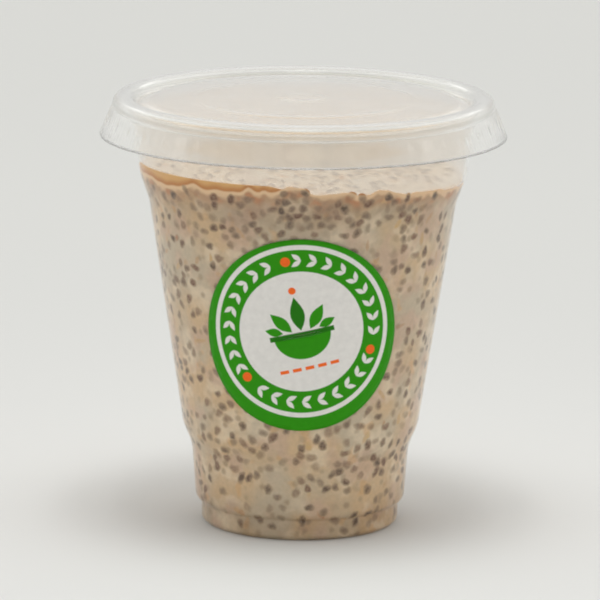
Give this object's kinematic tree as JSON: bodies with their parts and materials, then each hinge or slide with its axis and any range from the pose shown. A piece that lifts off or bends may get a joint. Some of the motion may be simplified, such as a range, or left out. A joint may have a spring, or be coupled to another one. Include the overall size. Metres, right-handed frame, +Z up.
{
  "type": "chia pudding in a lidded plastic cup",
  "caption": "Clear tapered plastic cup with a flat push-on lid and a round front sticker, filled nearly to the shoulder with seeded beige pudding.",
  "frame": {"origin": "middle of the cup's base, on the surface it stands on", "axes": "+Z up along the cup's axis; the sticker faces -Y; +X is to the right seen from the front"},
  "size_m": [0.103, 0.103, 0.11],
  "materials": {
    "cup_plastic": "clear thin plastic, glossy",
    "lid_plastic": "clear thin plastic, glossy, finely ribbed near the rim",
    "pudding": "soft beige cream full of soaked dark seeds",
    "sticker": "semi-gloss printed sticker, green with a pale middle"
  },
  "bodies": {
    "root": {"cup": "cup_plastic", "lid": "lid_plastic", "pudding": "pudding", "label": "sticker"}
  },
  "joints": []
}
